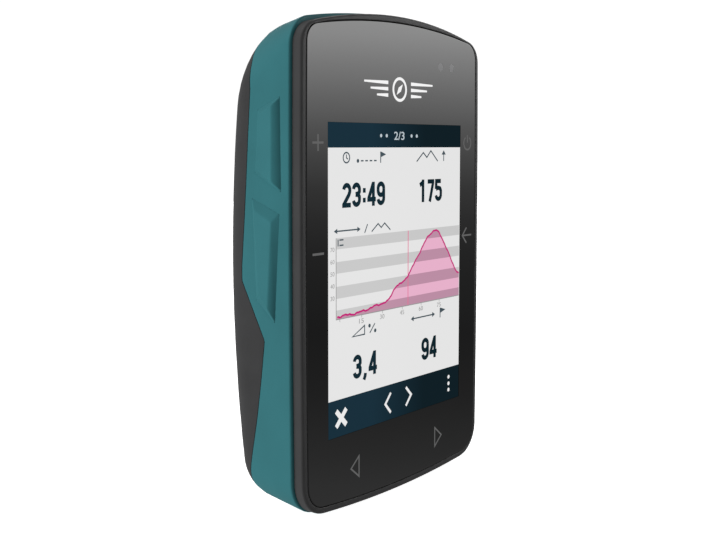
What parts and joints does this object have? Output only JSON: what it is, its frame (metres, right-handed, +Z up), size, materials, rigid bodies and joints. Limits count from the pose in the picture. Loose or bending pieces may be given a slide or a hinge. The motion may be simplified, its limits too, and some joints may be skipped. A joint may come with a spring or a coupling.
{
  "type": "handheld gps unit",
  "caption": "Upright handheld GPS unit: arched flat glass over a colour display, teal side band with side and bottom keys, hinged port door, rear quarter-turn socket.",
  "frame": {"origin": "bottom centre of the bounding box", "axes": "+Z up the device as it is held, the display faces -Y, +X to the right seen from the front"},
  "size_m": [0.0684, 0.0228, 0.1048],
  "materials": {
    "dark_plastic": "fine spark texture, dark grey",
    "teal_rubber": "soft-touch teal",
    "teal_plastic": "soft-touch teal",
    "bezel_plastic": "satin dark grey",
    "glass_black": "polished, printed black border",
    "tape": "matt black",
    "seal_rubber": "matt black",
    "display_glass": "display laminate",
    "backlight": "white diffuser in a frame",
    "flex_film": "amber film",
    "part_plastic": "black moulding compound",
    "lens_clear": "dark clear",
    "chassis_alloy": "die cast",
    "circuit_board": "solder mask",
    "antenna_ceramic": "fired ceramic with silvered patch",
    "shield_steel": "tinned",
    "battery_foil": "laminated foil pouch",
    "foam": "closed-cell foam",
    "pin_steel": "turned",
    "screw_steel": "blackened",
    "insert_brass": "turned",
    "mount_plastic": "glass filled, black",
    "membrane": "expanded film"
  },
  "bodies": {
    "housing": {"battery_connector": "part_plastic", "battery_pack": "battery_foil", "battery_pad": "foam", "bezel_inserts": "insert_brass", "board_screws": "screw_steel", "buzzer": "part_plastic", "cover_glass": "glass_black", "display_connector": "part_plastic", "display_flex": "flex_film", "front_bezel": "bezel_plastic", "front_gasket": "seal_rubber", "glass_adhesive": "tape", "gnss_antenna": "antenna_ceramic", "housing_screws": "screw_steel", "key_board_left": "circuit_board", "key_board_right": "circuit_board", "key_switches": "shield_steel", "lanyard_pin": "pin_steel", "lcd_backlight": "backlight", "lcd_panel": "display_glass", "light_sensor": "lens_clear", "main_board": "circuit_board", "mid_chassis": "chassis_alloy", "mount_ring": "mount_plastic", "mount_screws": "screw_steel", "page_key_boards": "circuit_board", "pressure_sensor": "shield_steel", "processor_chip": "part_plastic", "processor_shield": "shield_steel", "radio_shield": "shield_steel", "rear_housing": "dark_plastic", "side_band": "teal_rubber", "status_led": "lens_clear", "usb_connector": "shield_steel", "usb_hinge_pin": "pin_steel", "vent_membrane": "membrane"},
    "zoom_in_button": {"zoom_in_button": "teal_rubber"},
    "zoom_out_button": {"zoom_out_button": "teal_rubber"},
    "power_button": {"power_button": "teal_rubber"},
    "back_button": {"back_button": "teal_rubber"},
    "page_left_button": {"page_left_button": "teal_rubber"},
    "page_right_button": {"page_right_button": "teal_rubber"},
    "usb_door": {"usb_door": "teal_plastic", "usb_door_seal": "seal_rubber"}
  },
  "joints": [
    {"name": "zoom_in_button_press", "type": "slide", "parent": "housing", "child": "zoom_in_button", "axis": [1, 0, 0], "range_m": [0, 0.0005], "stiffness_N_per_m": 900, "springref_m": -0.0004},
    {"name": "zoom_out_button_press", "type": "slide", "parent": "housing", "child": "zoom_out_button", "axis": [1, 0, 0], "range_m": [0, 0.0005], "stiffness_N_per_m": 900, "springref_m": -0.0004},
    {"name": "power_button_press", "type": "slide", "parent": "housing", "child": "power_button", "axis": [-1, 0, 0], "range_m": [0, 0.0005], "stiffness_N_per_m": 900, "springref_m": -0.0004},
    {"name": "back_button_press", "type": "slide", "parent": "housing", "child": "back_button", "axis": [-1, 0, 0], "range_m": [0, 0.0005], "stiffness_N_per_m": 900, "springref_m": -0.0004},
    {"name": "page_left_button_press", "type": "slide", "parent": "housing", "child": "page_left_button", "axis": [0, 0, 1], "range_m": [0, 0.0005], "stiffness_N_per_m": 900, "springref_m": -0.0004},
    {"name": "page_right_button_press", "type": "slide", "parent": "housing", "child": "page_right_button", "axis": [0, 0, 1], "range_m": [0, 0.0005], "stiffness_N_per_m": 900, "springref_m": -0.0004},
    {"name": "usb_door_hinge", "type": "hinge", "parent": "housing", "child": "usb_door", "pos_m": [-0.0069, -0.00315, 0.00184], "axis": [0, 0.9914, 0.1306], "range_deg": [0, 100]}
  ]
}
